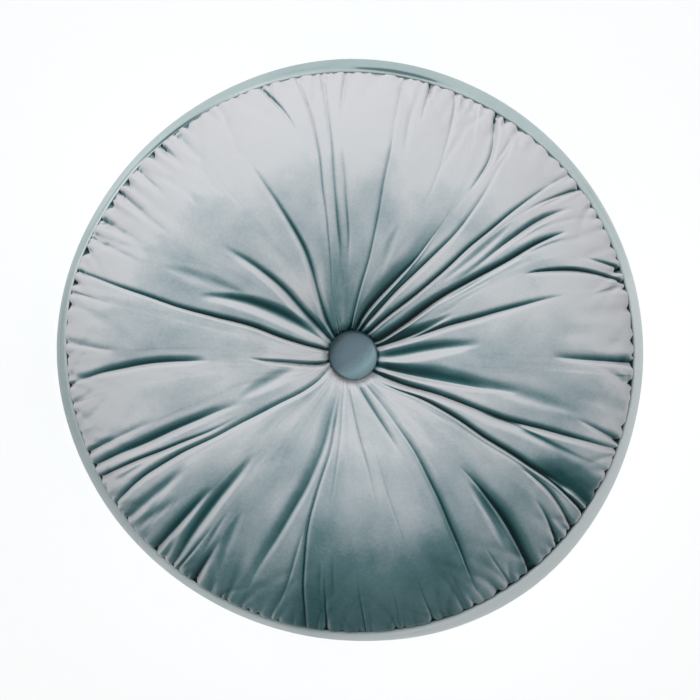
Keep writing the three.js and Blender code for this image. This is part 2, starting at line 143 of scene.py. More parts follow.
# One row for each fold of the front, anticlockwise: its heading in degrees at the five stations, its
# depth in mm at the six, how wide its sides towards the rows before and after are, and how sharp its
# bottom is, from 0 for a soft hollow to 1 for a crease
HEADING_COLUMNS = ("head_hub", "head_inner", "head_crown", "head_outer", "head_rim")
DEPTH_COLUMNS = ("deep_hub", "deep_inner", "deep_climb", "deep_crown", "deep_outer", "deep_rim")
FOLD_COLUMNS = (*HEADING_COLUMNS, *DEPTH_COLUMNS, "before", "after", "sharp")
FOLDS = (
    (3, 2.5, 0.5, -1.2, -1.6, 0, 0, 0, -1.5, 2, 3.8, 1, 1.5, 0.5),
    (11.5, 14.7, 15.4, 14.7, 12.5, 2.5, 3.4, 3, 2.4, -0.2, 0, 0.8, 1.1, 0.2),
    (18, 22, 24.8, 20.6, 14.4, 0, 0, 0, -2, 3.6, 3, 0.8, 0.8, 0.7),
    (21, 25, 27, 24, 17.2, 0, 0, 0, 0, -1.5, 3, 0.9, 0.9, 0.7),
    (21.5, 29.2, 29.7, 29.4, 27, 5, 6.5, 3.8, 3.4, 1.8, -4, 0.45, 1, 0.6),
    (29, 32, 34, 34.4, 31.6, 0, 0, 0, 0.6, 2.8, -1, 1.2, 1.2, 0.3),
    (36, 37.6, 39, 38, 35.1, 0, 0, 0, 0, 0.6, 3.2, 0.8, 0.8, 0.8),
    (41.5, 39.7, 40.4, 40, 38.8, 3, 3.2, 2.4, 2, 1.5, 1.4, 0.6, 1.2, 0.8),
    (54, 49.8, 47.4, 50.2, 52, 2.5, 2.4, 2.2, 0.9, 0.5, 0.4, 0.9, 1.3, 0.6),
    (59, 53, 52.5, 53, 57.4, 0, 0, 0, -1.5, 2.2, 4.2, 0.9, 0.9, 0.7),
    (63.5, 55, 53.5, 58, 61.8, 5, 4.4, 1.2, 0, 0, 0.8, 0.45, 3, 0.2),
    (70, 64, 61.8, 64, 66.6, 0, 0, 0, 0, 0.8, 2.2, 1, 0.9, 0.4),
    (74, 69.5, 69, 71.5, 72, 0, 0, 0, 0, -0.5, 2.8, 0.8, 0.8, 0.8),
    (77.5, 75.4, 76.8, 77.5, 77.6, 1.2, 1, 1, 0.9, 0.9, 1.8, 0.8, 1.2, 0.8),
    (86, 87, 89.5, 90.6, 89.6, 0, 0.1, 1.7, 1.1, 0.2, 2.2, 1, 1, 0.4),
    (93, 92.1, 93.1, 93.6, 94.6, 0, 0.1, 1.3, 0.8, 1.2, 1.6, 0.8, 1.3, 0.8),
    (104, 98.7, 97.1, 97.6, 99.8, 0, 0.5, 1.1, 1.1, 1.3, 1.4, 0.9, 0.8, 0.9),
    (110, 104, 102, 102.5, 107.3, 0, 0, 0, 0, 0.6, 3, 0.8, 1, 0.7),
    (117, 110.4, 113.6, 117, 118, 2.5, 2.8, 2.2, 0.9, 0, 0, 0.8, 1.5, 0.1),
    (124, 119, 123, 126, 127.6, 0, 0, 0, 0, 0, 2.2, 2.4, 2.4, 0.2),
    (129.5, 124, 127, 130, 131.3, 0, 0, 0, 0, -0.8, 2.6, 2, 2, 0.1),
    (133.5, 132.6, 138, 138.4, 138.2, 3.4, 3.4, 1.6, 0, -0.3, 2.6, 1.2, 1.7, 0.1),
    (140, 139, 144.5, 145.3, 144.2, 0, 0, 0, 0, 0.5, 3, 1.8, 1.8, 0.1),
    (146, 148, 150, 151.2, 151, 0, 0, 0, 0, 0, 2.8, 1.9, 1.9, 0.1),
    (156, 155, 155, 155.6, 155.2, 0, 0, 0, 0, 0.2, 1.6, 1.9, 1.9, 0.1),
    (167, 163.5, 164.1, 163.2, 162.7, 3, 3.2, 3, 2, 1.7, 1.8, 1.1, 0.6, 0.6),
    (176, 171, 169, 168, 167, 0, 0, 0, 0, 0, 0.6, 1, 1, 0.3),
    (184, 178, 177.3, 178.8, 177.6, 0, 0, 0, 0, 0.2, 1.4, 1.6, 1.4, 0.2),
    (202, 186, 182.4, 183.8, 186.2, 0, 0, -1, 2.2, 2.8, 1.2, 1.5, 1, 0.2),
    (203, 190, 188.5, 189, 190.5, 0, 0, 0, 0, 0, 0.3, 0.8, 0.8, 0.3),
    (206, 197.5, 198, 199.9, 200.8, 0, 0, 0, -0.5, 0.8, 2.2, 1.6, 1.4, 0.2),
    (211, 206, 204, 204, 203.8, 0, 0, 0.2, 2.4, 3.4, 1.8, 1.8, 1.2, 0.1),
    (217, 212.3, 209.6, 207.2, 206.6, 0, 0, 0, 0.9, 2.6, 2, 1, 1.2, 0.5),
    (226, 216.9, 212.3, 211.2, 213.2, 1.4, 1.3, 1.4, 1.5, 2.4, 1.6, 1.6, 1.1, 0.4),
    (230, 220, 215, 216.4, 217, 0, 0, 0, -1, 1.6, 2.2, 2.4, 2.2, 0),
    (233, 225, 225, 225.6, 226, 0, 0, 0, -1.5, 2.8, 2.8, 1.8, 1.4, 0.1),
    (236, 228.5, 228.6, 229.6, 230.8, 0, 0, -0.5, 1.4, 2.8, 1, 2, 1.8, 0),
    (239, 233, 232.3, 232.6, 232.2, 0, 0, 0, 0, 0.2, 1.4, 1, 1, 0.3),
    (243, 238, 236.6, 236.2, 236.4, 0, 0, 0, 0, 0.2, 3.2, 1.6, 1.3, 0.3),
    (248, 245, 243.5, 242.3, 243, 0, 0, 0, 0, 0, 0, 1, 1, 0),
    (257, 257.2, 252, 248, 247, 0, 1.6, 1.6, 2, 0.8, 0, 3, 1.6, 0),
    (261, 259.2, 257.1, 256.2, 254.8, 0, 0, 0, 0, 0.8, 0, 1.4, 1.2, 0.2),
    (264, 262.3, 258.3, 259.8, 262, 0.2, 0.9, 0.9, 1.3, 2, 1.6, 1.1, 0.9, 0.5),
    (269.4, 267.2, 264.6, 265.2, 266.4, 0.4, 0.6, 0.3, 0, 0.3, 2, 0.9, 0.9, 0.4),
    (274, 273.2, 272.6, 273.5, 274.5, 0, 0, 0, 0, 0.2, 1.2, 0.8, 0.8, 0.6),
    (277.8, 280.8, 282.4, 282, 281.5, 0.7, 0.9, 0.5, 0, 0, 0.6, 1, 0.9, 0.4),
    (285, 287.3, 287.4, 288, 288.5, 0, 0, 0.2, 0.3, 0, 1, 0.8, 0.8, 0.6),
    (295, 299.2, 297, 296, 296, 1.4, 1.2, -0.5, 0, 0, 0.6, 0.8, 1.6, 0.2),
    (306, 307, 303.5, 300.3, 299, 0.6, 0.8, 1.2, 2, 1.4, 0, 0.7, 2, 0.3),
    (309, 311, 308.8, 306.3, 306, 0, 0, 0, 0, 0, 1.2, 0.9, 0.9, 0.5),
    (313, 316, 316, 313.6, 310.8, 0, 0, -1, 0.3, 5, 4.4, 0.5, 2, 0.35),
    (315, 321, 322.5, 323, 318.4, 0, 0, 0, 0, 0, 3, 0.8, 1.3, 0.5),
    (317, 325.5, 327.2, 326.8, 322.8, 0, 0, 0, -2, 1.8, 3, 0.8, 0.8, 0.5),
    (321.5, 329.8, 329.3, 328.6, 326.6, 0.9, 2.6, 3.2, 3.6, 4.2, 3.2, 0.4, 1, 0.6),
    (326, 333, 337, 336.4, 336.5, 0, 0, 0, 1.4, 0.6, 0, 2.4, 1.4, 0),
    (329.2, 336, 337.9, 340, 340.8, 5.5, 4.7, 3.8, 3.2, 2.4, 1.2, 1, 0.9, 0.4),
    (341, 345, 346, 344.5, 342.4, 0, 0, 0, 0, 0, 3, 1, 1, 0.3),
    (351, 353.5, 355, 355.5, 355.6, 0, 0, 0, 0, -0.5, 0.3, 0.9, 0.9, 0.5),
)

# Width in mm of the painted dark core of a crease, how much it gains for each mm of depth and where a
# fold overlaps its neighbour, the depth from which it is fully dark, and how much of this painted
# shadow lies on the steep side of a fold that overlaps
CORE_WIDTH = 0.75
CORE_BY_DEPTH = 0.12
CORE_BY_OVERLAP = 1.3
CORE_DEPTH = 2.2
OVERLAP_TONE = 2.4

# Half of a fold's width in mm where it is shallow, and how much it gains for each mm of its greatest
# depth and of its depth at a place. A fold ends in a soft, round hollow where the first is the larger.
FOLD_WIDTH = 1.2
WIDTH_BY_FOLD = 0.45
WIDTH_BY_DEPTH = 0.4

# How far in mm a fold wanders to either side of its smooth line, and over which lengths in mm
WANDER = 0.25
WANDER_LENGTHS = (37, 61)

# Shorter creases and soft hollows between the folds: share of the radius and heading in degrees at
# each end and halfway, depth in mm, how far their sides reach clockwise and anticlockwise in mm, and
# how sharp their bottoms are
HOLLOW_COLUMNS = (
    *("from_share", "to_share", "head_from", "head_middle", "head_to"),
    *("deep", "before", "after", "sharp"),
)
HOLLOWS = (
    (0.02, 0.15, 72, 74, 76, 1.2, 1, 1, 0.6),
    (0.02, 0.14, 97, 96, 95.5, 1.2, 1, 1, 0.6),
    (0.02, 0.13, 104, 102.6, 101.6, 1, 1, 1, 0.6),
    (0.02, 0.12, 84, 84, 84, 1, 1, 1, 0.6),
    (0.04, 0.48, -8, 2.5, 5, 3.1, 8, 8, 0),
    (0.06, 0.4, 12.5, 16.2, 20, 3.2, 3, 7, 0),
    (0.33, 0.76, 28.3, 28.8, 28.8, 0.9, 1.5, 1.5, 1),
    (0.42, 0.75, 36.5, 37, 38, 0.9, 4, 5, 0),
    (0.84, 0.97, 36.9, 36, 35.2, 1.4, 2, 2.5, 0.5),
    (0.3, 0.5, 65, 67, 67, 0.6, 5, 5, 0),
    (0.72, 0.99, 73, 74.2, 74, 2, 2.6, 3, 0.3),
    (0.84, 0.96, 51.6, 51.8, 52.2, 1.3, 2, 2.4, 0.3),
    (0.9, 1.02, 47.6, 47.9, 48.3, 1.2, 1.6, 2, 0.3),
    (0.7, 0.98, 62.5, 62, 61.4, 0.8, 4, 4, 0.2),
    (0.03, 0.56, 143.5, 148.6, 158, 3.8, 8, 9, 0),
    (0.42, 0.72, 149, 152, 154, 0.8, 8, 8, 0),
    (0.72, 0.98, 133.4, 134.8, 136.4, 0.8, 3, 3, 0.2),
    (0.14, 0.42, 195, 199.5, 203, 1.2, 8, 8, 0),
    (-0.06, 0.34, 236, 194.5, 182, 4.2, 3.2, 3.8, 0.6),
    (0.78, 0.97, 208.4, 208.8, 209, 1, 2.5, 2.5, 0.2),
    (0.78, 0.98, 221, 220.2, 219.6, 1.4, 3.5, 3.5, 0.1),
    (0.68, 0.92, 237, 238, 240, 1, 6, 6, 0),
    (0.72, 0.9, 233.6, 234, 234.6, 0.6, 3, 3, 0.2),
    (0.75, 0.9, 263.4, 263.8, 264.4, 0.9, 2.6, 2.6, 0.5),
    (0.72, 0.9, 266.6, 267, 267.2, 0.8, 2.6, 2.6, 0.4),
    (0.62, 0.9, 314, 312, 309.5, 2, 3, 6, 0.2),
    (0.66, 1, 33, 32.4, 28.5, 1.2, 2, 2, 0.6),
    (0.7, 1, 29.2, 27.5, 23, 0.8, 2, 2, 0.4),
    (0.74, 1.16, 329.6, 328.6, 326.8, 5, 1.5, 26, 0),
    (-0.1, 0.62, 334, 343.4, 347.6, 5, 4, 14, 0),
    (0.45, 0.85, 349, 347, 346, 1, 8, 10, 0),
    (0.8, 1.04, 9.8, 9.2, 8.4, 1.5, 5, 4, 0.1),
    (0.7, 0.97, 6.6, 5.6, 4.8, 1.2, 4, 3, 0.2),
    (0.86, 1.04, 13.4, 13.7, 14, 1.3, 3, 3, 0.2),
    (0.84, 1.02, 2.6, 2.1, 1.6, 1.1, 3, 3, 0.2),
    (0.8, 0.98, 350.6, 350.2, 349.6, 0.9, 4, 3, 0.1),
)

# Shares of the way from the button's middle to the seam: end of the pit's floor, and crown's top
PIT_SHARE = 0.095
CROWN_SHARE = 0.5
CLIMB_POWER = 2.4
FALL_POWER = 2.15
FALL_ROUNDNESS = 0.85
PIT_MARGIN = 3.0

# The cloth beside the button is drawn down further: depth and width in mm
TUFT_DEPTH = 6.0
TUFT_WIDTH = 5.0

# Width in mm and least fold tone of the painted shade where the button meets the cloth
JOIN_WIDTH = 1.4
JOIN_SHADE = 0.7

# A sharp fold has a narrow crease at the bottom of its hollow: half its width in mm, and its share of
# the fold's depth
CREASE_WIDTH = 1.3
CREASE_SHARE = 0.5

# How quickly a hollow and a crease fall from their sides to their bottoms
HOLLOW_POWER = 1.4
CREASE_POWER = 1.6

# A fold's sides never reach further than this share of the distance from the gathers' meeting point
REACH_SHARE = 0.22

# Columns between two folds, closer together at the folds, rows of the front panel, closer together at
# the rim, the share of the radius that the first row stands at, and the shares between which folds and
# lumps end at the rim
COLUMNS = 16
COLUMN_CROWDING = 0.09
FRONT_ROWS = 128
ROW_POWER = 0.92
HUB_SHARE = 0.04
RIM_END = (1.004, 0.985)

# Corners of the grids that are nearer than this in m become one
MERGE_DISTANCE = 1e-7

# Grid of the cloth simulation, its frames and steps in each, the cloth's mass and stiffness, and where
# it is held: from the first of each pair hardly and from the second fully, by the folds' depth in mm
# and by share of the radius round the hub and at the rim. Then how often its swell is evened along the
# rim, and the most that it may swell in mm.
COARSE_COLUMNS = 4
COARSE_ROWS = 50
SIMULATION_FRAMES = 14
SIMULATION_STEPS = 5
CLOTH_MASS = 0.3
CLOTH_STIFFNESS = 0.5
FOLDS_HELD = (0.3, 1.6)
HUB_HELD = (0.4, 0.15)
RIM_HELD = (0.93, 0.98)
EVENING_PASSES = 3
SWELL_LIMIT = 1.6

# Larger gathers between the folds along the rim: heading in degrees, depth, length and notch in mm
GATHER_COLUMNS = ("heading", "deep", "length", "notch")
GATHERS = (
    (8, 0.6, 14, 0.5),
    (44, 1.4, 12, 2.2),
    (47.4, 1.6, 16, 2.4),
    (51.8, 1.4, 14, 2.4),
    (55.2, 1.2, 10, 2),
    (60.5, 1.2, 9, 1.5),
    (64.8, 1.4, 12, 1.5),
    (75.6, 1.2, 12, 1),
    (79, 1.4, 10, 1.2),
    (84, 0.8, 8, 0.8),
    (103, 0.8, 10, 0.8),
    (121.5, 0.9, 12, 2.4),
    (124.6, 1.2, 12, 3),
    (134, 2.2, 22, 4),
    (141.8, 2.6, 26, 4.6),
    (147.3, 2.6, 30, 5),
    (158.4, 1.6, 20, 4.4),
    (165, 1.2, 14, 3.6),
    (169.8, 1.2, 14, 3.2),
    (173, 0.8, 9, 1.2),
    (180, 1.2, 14, 1.6),
    (184, 1.4, 12, 1),
    (266, 1.4, 14, 1),
    (288.2, 1.2, 12, 1.2),
    (291, 1.2, 12, 1.2),
    (302.8, 1.6, 16, 1.5),
    (308.4, 1, 10, 1.2),
    (354.4, 1.6, 8, 3.4),
    (17, 2, 14, 2.8),
    (13.2, 2, 10, 2.8),
    (9.6, 2.4, 16, 3),
    (5.8, 2, 12, 2.6),
    (2.6, 1.8, 10, 2.4),
)

# Small gathers all round the rim: spacing and most shift from it in degrees, and least and most depth,
# length and notch in mm
GATHER_SPACING = 2.4
GATHER_SHIFT = 0.8
GATHER_DEPTH = (0.5, 1.9)
GATHER_LENGTH = (12.0, 34.0)
GATHER_NOTCH = (0.6, 2.3)

# Least and most width in mm of any gather, and the most degrees that one bends over its length
GATHER_WIDTH = (3.4, 5.4)
GATHER_BEND = 5

# Notches in the rim: their depth as a share of a main fold's, and their least width and length in mm
NOTCH_SHARE = 0.85
NOTCH_WIDTH = 1.7
NOTCH_LENGTH = 5.0

# Where the filling stands fuller or slacker than the plain crown: heading in degrees, share of the
# radius, half the width across and along in mm, and height in mm
FILLING_COLUMNS = ("heading", "share", "across", "along", "height")
FILLING = (
    (224, 0.92, 60, 26, 4),
    (205, 0.95, 40, 24, 1.5),
    (300, 0.5, 60, 45, 1.2),
    (275, 0.55, 60, 40, 0.8),
    (328, 0.97, 50, 24, 2),
    (8, 0.97, 90, 22, 2.2),
    (30, 0.8, 60, 30, -1),
    (150, 0.6, 60, 40, -0.8),
)

# Spots where the velvet's tone is painted paler, as painted light, and darker below 0, as painted
# shade: the same columns, the last in shares of the whole range of tones
PAINTED_SPOTS = (
    (330, 0.95, 60, 22, 0.11),
    (0, 0.95, 60, 20, 0.07),
    (30, 0.93, 60, 24, 0.12),
    (210, 0.9, 60, 34, 0.08),
    (180, 0.78, 60, 60, 0.06),
    (240, 0.96, 40, 16, 0.02),
    (300, 0.96, 50, 16, 0.1),
    (122, 0.24, 18, 34, 0.1),
    (62, 0.27, 20, 28, 0.08),
    (184, 0.15, 15, 18, 0.24),
    (335, 0.14, 16, 14, -0.06),
    (272, 0.3, 44, 34, -0.04),
    (288, 0.15, 20, 14, -0.07),
    (240, 0.4, 40, 24, -0.03),
    (150, 0.72, 60, 34, -0.09),
    (90, 0.68, 60, 24, -0.05),
    (345, 0.6, 60, 34, 0.02),
    (330, 0.5, 50, 30, 0.03),
    (2, 0.45, 30, 20, -0.06),
    (32, 0.35, 24, 24, 0.06),
    (150, 0.14, 20, 26, -0.1),
    (207, 0.22, 20, 16, -0.06),
    (270, 0.18, 30, 20, -0.07),
    (275, 0.95, 60, 24, -0.03),
    (90, 0.25, 20, 24, -0.08),
    (118, 0.26, 12, 16, 0.1),
    (132, 0.56, 36, 26, 0.01),
    (62, 0.36, 20, 18, 0.02),
    (30, 0.95, 60, 16, 0.04),
    (122, 0.96, 60, 18, -0.04),
)

# Soft unevenness everywhere: height in mm, number of waves, and their least and most length in mm
LUMP_HEIGHT = 0.9
LUMP_WAVES = 14
LUMP_LENGTH = (55, 130)

# Soft creases along the band: headings in degrees at both ends, share of the way from the seam to the
# outline, depth and half of the width in mm
CREASE_COLUMNS = ("head_from", "head_to", "share", "deep", "width")
CREASES = (
    (66, 92, 0.36, 1.1, 1.3),
    (90, 108, 0.5, 0.5, 1.0),
    (110, 138, 0.19, 1.1, 0.8),
    (118, 162, 0.33, 0.9, 0.7),
    (244, 268, 0.2, 0.9, 0.8),
    (160, 186, 0.55, 0.5, 1.2),
    (20, 44, 0.6, 0.4, 1.4),
    (196, 232, 0.4, 0.4, 1.2),
    (276, 300, 0.6, 0.4, 1.4),
)

# Tuck of the front's edge into the seam, from the edge with its notches, to a ledge at the seam that
# closes the notches below, and in again: distance out and height over the edge in mm
FRONT_EDGE = ((-0.1, -0.8), (-0.6, -1.5))
FRONT_LEDGE = (-0.6, -2.1)
FRONT_TUCK = ((-2.6, -3.2), (-4.0, -4.6))

# How much painted shade these rows get, over 1 where no light gets in
TUCK_SHADES = (0.5, 1.3, 1.8, 1.8, 1.8)

# Inside of the side, by share of the way down: how far in mm it starts below the front's seam, and it
# stands in from the band's outer face, but no further out from the seam than the last
WALL_SHARES = (0.08, 0.25, 0.5, 0.75, 0.92)
WALL_TOP = 6.0
WALL_INSET = 4.7
WALL_OUT = 4.5

# Back: tuck at its seam, as distance out and height over the seam in mm, shares of the way on to the
# flat ring that it rests on, the ring's two radii in mm, and shares of the way up into the dimple
BACK_TUCK = ((-5.2, 4.4), (-4.0, 3.0), (-1.8, 2.2), (-0.5, 1.1), (0.0, 0.0))
BACK_SHARES = (0.04, 0.1, 0.18, 0.28, 0.4, 0.55, 0.75, 1.0)
BACK_POWER = 2.2
REST_OUTER = 150.0
REST_INNER = 46.0
DIMPLE_SHARES = (0.0, 0.12, 0.26, 0.42, 0.6, 0.8, 0.95)
DIMPLE_HEIGHT = 11.0

# Band: thickness and width of its cut strip in mm, distance of its edges from the seams' heights, and
# columns between two folds and rows of its grid
BAND_THICKNESS = 2.0
BAND_SEAM_GAP = 2.6
BAND_COLUMNS = 8
BAND_ROWS = 41

# Half section of the covered button: share of its radius and height in mm. Then the steps round it,
# and the fold tone of the painted shade at its edge, from this share of its radius outwards
BUTTON_PROFILE = (
    *((0, 0), (0.54, 0), (0.84, 1.1), (0.96, 2.6), (1, 4.4)),
    *((0.98, 6.0), (0.9, 7.9), (0.7, 9.6), (0.4, 10.6), (0, 11.0)),
)
BUTTON_STEPS = 64
BUTTON_EDGE_SHADE = 0.8
BUTTON_EDGE_SHARE = 0.94

# Floor and lights: half the floor's width in m, each light's place and size in m, its power in W and
# what it lights, the point in m that they aim at, and the light from the studio's walls
FLOOR_SIZE = 6.0
LIGHTS = (
    ("key", (-0.5, 2.5, 1.5), 1.6, 49, "pieces"),
    ("overhead", (-0.4, 0.4, 2.6), 2.6, 35, "pieces"),
    ("fill", (2.2, 1.2, 1.2), 1.4, 7, "pieces"),
    ("floor_light", (0.0, 0.1, 2.8), 3.0, 74, "floor"),
)
LIGHTS_AIM = (0, 0, 0.06)
STUDIO_COLOUR = "#f4f8fa"
STUDIO_STRENGTH = 0.35

# The photograph is 700 pixels wide and shows 0.6814 mm in each, straight from above and from far off.
# The camera stands so far away that it sees this width in m at the height of the front's rim.
WIDTH_SEEN = 700 * 0.6814 * MM
AIM_HEIGHT = 0.07
LENS = 800.0
SENSOR_WIDTH = 36.0


def table(columns, rows):
    """The rows' values as one array for each named column"""
    return {name: np.array(values, float) for name, values in zip(columns, zip(*rows))}


outline = table(OUTLINE_COLUMNS, OUTLINE)
folds = table(FOLD_COLUMNS, FOLDS)
hollows = table(HOLLOW_COLUMNS, HOLLOWS)
gathers = table(GATHER_COLUMNS, GATHERS)
creases = table(CREASE_COLUMNS, CREASES)
filling = table(FILLING_COLUMNS, FILLING)
# Spots of painted light and shade
brushed = table(FILLING_COLUMNS, PAINTED_SPOTS)
FOLD_COUNT = len(FOLDS)


def through(stations, values, at):
    """Smooth curve through values at rising stations, which may hold a column for each of several"""
    stations = np.asarray(stations, float)
    values = np.asarray(values, float)
    at = np.clip(at, stations[0], stations[-1])
    index = np.clip(np.searchsorted(stations, at) - 1, 0, len(stations) - 2)
    spans = np.diff(stations)
    rises = np.diff(values, axis=0) / spans.reshape(-1, *[1] * (values.ndim - 1))
    slopes = (np.concatenate([rises[:1], rises]) + np.concatenate([rises, rises[-1:]])) / 2
    t = (at - stations[index]) / spans[index]
    span = spans[index]
    if values.ndim > 1:
        t = t[:, None]
        span = span[:, None]
    turn = t * t * (3 - 2 * t)
    bend = span * t * (1 - t) * (slopes[index] * (1 - t) - slopes[index + 1] * t)
    return values[index] * (1 - turn) + values[index + 1] * turn + bend


def outline_radius(line, heading):
    """Radius in mm of the outline's named line about the origin"""
    turns = np.concatenate([outline["heading"] + turn for turn in (-360, 0, 360)])
    radii = np.tile(outline[line], 3)
    flat = through(turns, radii, np.degrees(heading).ravel() % 360)
    return flat.reshape(np.shape(heading))


def reach(line, heading):
    """Distance in mm from the gathers' meeting point to the named line"""
    distance = outline_radius(line, heading)
    for _ in range(5):
        x = GATHER[0] + distance * np.cos(heading)
        y = GATHER[1] + distance * np.sin(heading)
        distance = distance + outline_radius(line, np.arctan2(y, x)) - np.hypot(x, y)
    return distance


def smooth(low, high, at):
    t = np.clip((at - low) / (high - low), 0, 1)
    return t * t * (3 - 2 * t)


def crown_height(share, sizes):
    """Height in mm of the front without its folds, by share of the way from button to seam"""
    climb = np.clip((share - PIT_SHARE) / (CROWN_SHARE - PIT_SHARE), 0, 1)
    fall = np.clip((share - CROWN_SHARE) / (1 - CROWN_SHARE), 0, 1)
    pit = sizes.pit_height / MM
    crown = sizes.crown_height / MM
    seam = sizes.front_seam_height / MM
    inside = pit + (crown - pit) * (1 - (1 - climb) ** CLIMB_POWER)
    outside = seam + (crown - seam) * (1 - fall**FALL_POWER) ** FALL_ROUNDNESS
    return np.where(share < CROWN_SHARE, inside, outside)


def fold_lines(share):
    """Heading of every fold at each share of the radius, and of the first fold again a turn on"""
    stations = np.array([folds[name] for name in HEADING_COLUMNS])
    headings = np.radians(through(HEADING_STATIONS, stations, share))
    return np.concatenate([headings, headings[:, :1] + TURN], axis=1)


def fold_depths(share):
    stations = np.array([folds[name] for name in DEPTH_COLUMNS])
    return np.maximum(0, through(DEPTH_STATIONS, stations, share))


def headings_at(place, share):
    """Heading for every row, given by its share, and column, given by its place among the folds"""
    lines = fold_lines(share)
    index = np.minimum(place.astype(int), FOLD_COUNT - 1)
    start = lines[:, index]
    gap = lines[:, index + 1] - start
    return start + gap * (place - index)


def groove(distance, before, after, sharp):
    """Depth left of a fold at a signed distance from its bottom line, as a share of its full depth"""
    side = np.where(distance < 0, before, after)
    along = np.clip(np.abs(distance) / side, 0, 1)
    hollow = (0.5 + 0.5 * np.cos(math.pi * along)) ** HOLLOW_POWER
    crease = np.clip(1 - np.abs(distance) / (CREASE_WIDTH * side**0.3), 0, 1) ** CREASE_POWER
    return CREASE_SHARE * sharp * crease + (1 - CREASE_SHARE * sharp) * hollow


def turned(angle):
    return (angle + math.pi) % TURN - math.pi


def fold_relief(heading, share, distance):
    """Depth in mm of all the main folds together, and the painted shade along their creases"""
    lines = fold_lines(share)
    depths = fold_depths(share)
    relief = np.zeros_like(distance)
    pressed = np.zeros_like(distance)
    widest = REACH_SHARE * distance
    phases = np.random.default_rng(3).uniform(0, TURN, (FOLD_COUNT, len(WANDER_LENGTHS)))
    for fold in range(FOLD_COUNT):
        across = turned(heading - lines[:, fold : fold + 1]) * distance
        for length, phase in zip(WANDER_LENGTHS, phases[fold]):
            across = across + WANDER * np.sin(distance * TURN / length + phase) / 2
        depth = np.minimum(depths[:, fold : fold + 1], 0.9 * widest)
        width = FOLD_WIDTH + WIDTH_BY_FOLD * depths[:, fold].max() + WIDTH_BY_DEPTH * depth
        before = np.minimum(folds["before"][fold] * width, widest)
        after = np.minimum(folds["after"][fold] * width, widest)
        sharp = folds["sharp"][fold]
        relief += depth * groove(across, before, after, sharp)
        # Painted shade along the crease, shifted onto the steep side as a painted shadow where a fold
        # overlaps
        overlap = (after - before) / (after + before)
        steep = np.minimum(before, after) / 2
        core_width = CORE_WIDTH + CORE_BY_DEPTH * depth + CORE_BY_OVERLAP * np.abs(overlap) * steep
        core = np.exp(-(((across + overlap * steep) / core_width) ** 2))
        dark = sharp + OVERLAP_TONE * np.abs(overlap)
        pressed += dark * np.clip(depth / CORE_DEPTH, 0, 1) * core
    return relief, pressed


def hollow_relief(heading, share, distance):
    """Depth in mm of the shorter creases and soft hollows"""
    relief = np.zeros_like(distance)
    for row in range(len(HOLLOWS)):
        low, high = hollows["from_share"][row], hollows["to_share"][row]
        along = np.clip((share - low) / (high - low), 0, 1)[:, None]
        headings = [hollows[name][row] for name in ("head_from", "head_middle", "head_to")]
        middle = np.radians(through((0, 0.5, 1), headings, along.ravel()))[:, None]
        strength = np.sin(math.pi * along) ** 1.2
        across = turned(heading - middle) * distance
        before, after = (
            np.minimum((0.4 + 0.6 * strength) * hollows[name][row], REACH_SHARE * distance)
            for name in ("before", "after")
        )
        depth = hollows["deep"][row] * strength
        relief += depth * groove(across, before, after, hollows["sharp"][row])
    return relief


def rim_gathers(heading, share, distance, seam):
    """Depth in mm of the gathers along the rim, and how far they notch the edge"""
    dice = np.random.default_rng(7)
    small = np.arange(0, 360, GATHER_SPACING)
    lows_highs = (GATHER_DEPTH, GATHER_LENGTH, GATHER_NOTCH)
    count = len(GATHERS) + len(small)
    bends = np.radians(dice.uniform(-GATHER_BEND, GATHER_BEND, count))
    widths = dice.uniform(*GATHER_WIDTH, count)
    drawn = [dice.uniform(low, high, len(small)) for low, high in lows_highs]
    shifts = dice.uniform(-GATHER_SHIFT, GATHER_SHIFT, len(small))
    headings = np.concatenate([gathers["heading"], small + shifts])
    deep, length, notch = (
        np.concatenate([gathers[name], values]) for name, values in zip(GATHER_COLUMNS[1:], drawn)
    )
    relief = np.zeros_like(distance)
    notches = np.zeros_like(distance)
    from_seam = seam * (1 - share[:, None])
    edge = np.clip(1 - from_seam / NOTCH_LENGTH, 0, 1)
    for row, middle in enumerate(np.radians(headings)):
        away = from_seam / length[row]
        across = turned(heading - middle - bends[row] * np.minimum(away, 1.5) ** 2) * distance
        fade = 0.6 * np.clip(1 - away, 0, 1) ** 1.8 + 0.4 * np.clip(1 - away / 2.2, 0, 1) ** 1.5
        width = widths[row] * (0.7 + 0.9 * np.minimum(away, 1.5))
        relief += deep[row] * fade * groove(across, width, width, 0.3)
        across = turned(heading - middle) * distance
        wedge = np.clip(1 - np.abs(across) / (NOTCH_WIDTH + 0.5 * notch[row]), 0, 1) ** 1.3
        notches += notch[row] * edge * wedge
    for middle, deep in zip(fold_lines(np.array([1.0]))[0], fold_depths(np.array([1.0]))[0]):
        across = turned(heading - middle) * distance
        wedge = np.clip(1 - np.abs(across) / (NOTCH_WIDTH + 0.3 * deep), 0, 1) ** 1.3
        notches += NOTCH_SHARE * deep * edge * wedge
    return relief, notches


def lumps(heading, share, distance):
    """Unevenness of the filling under the cloth"""
    dice = np.random.default_rng(5)
    x = distance * np.cos(heading)
    y = distance * np.sin(heading)
    height = np.zeros_like(x)
    for _ in range(LUMP_WAVES):
        length = dice.uniform(*LUMP_LENGTH)
        angle = dice.uniform(0, TURN)
        phase = dice.uniform(0, TURN)
        height += np.cos((x * math.cos(angle) + y * math.sin(angle)) * TURN / length + phase)
    height *= LUMP_HEIGHT / 4
    return height + spots(filling, heading, share, distance)


def spots(places, heading, share, distance):
    """Sum of soft round spots, given by a table with the filling's columns"""
    total = np.zeros_like(distance)
    full = distance / share[:, None]
    for middle, at, across, along, height in zip(*(places[name] for name in FILLING_COLUMNS)):
        sideways = turned(heading - math.radians(middle)) * distance / across
        outwards = (share[:, None] - at) * full / along
        total += height * np.exp(-(sideways**2) - outwards**2)
    return total


